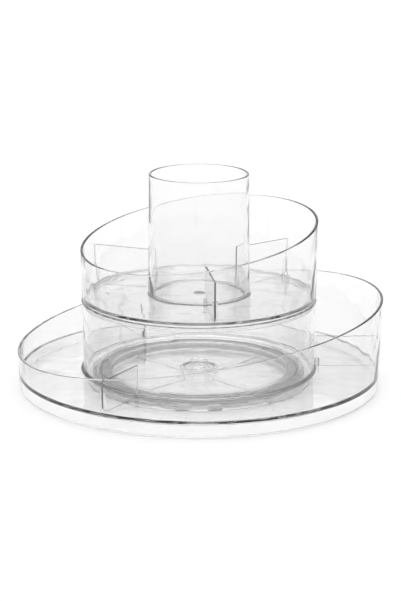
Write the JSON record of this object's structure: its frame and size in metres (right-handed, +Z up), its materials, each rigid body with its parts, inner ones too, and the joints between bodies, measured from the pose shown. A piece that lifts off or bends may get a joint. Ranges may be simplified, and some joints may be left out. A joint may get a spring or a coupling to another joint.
{
  "type": "tool storage caddy",
  "caption": "Two-tier turning tool caddy in clear plastic with slanting rims, lift-out dividers, a central tool cup and a ball bearing base.",
  "frame": {"origin": "on the turning axis, at table level", "axes": "+Z up along the turning axis, +X to the right and towards the high side of the lower rim, -Y towards the viewer"},
  "size_m": [0.2952, 0.2952, 0.1727],
  "materials": {
    "clear_tray": "polished clear moulding",
    "clear_divider": "polished clear moulding",
    "clear_base": "polished clear moulding",
    "grey_cage": "translucent, lightly frosted",
    "steel_ball": "polished",
    "rubber_foot": "matte"
  },
  "bodies": {
    "base": {"base_plate": "clear_base", "base_foot_1": "rubber_foot", "base_foot_2": "rubber_foot", "base_foot_3": "rubber_foot", "base_foot_4": "rubber_foot"},
    "bearing": {"bearing_cage": "grey_cage", "bearing_ball_1": "steel_ball", "bearing_ball_2": "steel_ball", "bearing_ball_3": "steel_ball", "bearing_ball_4": "steel_ball", "bearing_ball_5": "steel_ball", "bearing_ball_6": "steel_ball"},
    "lower_tray": {"lower_tray": "clear_tray"},
    "upper_tray": {"upper_tray": "clear_tray"},
    "lower_divider_right": {"lower_divider_right": "clear_divider"},
    "lower_divider_back_left": {"lower_divider_back_left": "clear_divider"},
    "lower_divider_front_left": {"lower_divider_front_left": "clear_divider"},
    "upper_divider_back_right": {"upper_divider_back_right": "clear_divider"},
    "upper_divider_back_left": {"upper_divider_back_left": "clear_divider"},
    "upper_divider_front": {"upper_divider_front": "clear_divider"}
  },
  "joints": [
    {"name": "lower_tray_turn", "type": "hinge", "parent": "base", "child": "lower_tray", "pos_m": [0, 0, 0.0109], "axis": [0, 0, 1], "continuous": true},
    {"name": "cage_turn", "type": "hinge", "parent": "base", "child": "bearing", "pos_m": [0, 0, 0.0069], "axis": [0, 0, 1], "continuous": true},
    {"name": "upper_tray_turn", "type": "hinge", "parent": "lower_tray", "child": "upper_tray", "pos_m": [0, 0, 0.0708], "axis": [0, 0, 1], "continuous": true},
    {"name": "lower_divider_right_lift", "type": "slide", "parent": "lower_tray", "child": "lower_divider_right", "axis": [0, 0, 1], "range_m": [0, 0.065]},
    {"name": "lower_divider_back_left_lift", "type": "slide", "parent": "lower_tray", "child": "lower_divider_back_left", "axis": [0, 0, 1], "range_m": [0, 0.065]},
    {"name": "lower_divider_front_left_lift", "type": "slide", "parent": "lower_tray", "child": "lower_divider_front_left", "axis": [0, 0, 1], "range_m": [0, 0.065]},
    {"name": "upper_divider_back_right_lift", "type": "slide", "parent": "upper_tray", "child": "upper_divider_back_right", "axis": [0, 0, 1], "range_m": [0, 0.07]},
    {"name": "upper_divider_back_left_lift", "type": "slide", "parent": "upper_tray", "child": "upper_divider_back_left", "axis": [0, 0, 1], "range_m": [0, 0.07]},
    {"name": "upper_divider_front_lift", "type": "slide", "parent": "upper_tray", "child": "upper_divider_front", "axis": [0, 0, 1], "range_m": [0, 0.07]}
  ],
  "couplings": [
    {"joint": "cage_turn", "follows": "lower_tray_turn", "ratio": 0.5}
  ]
}
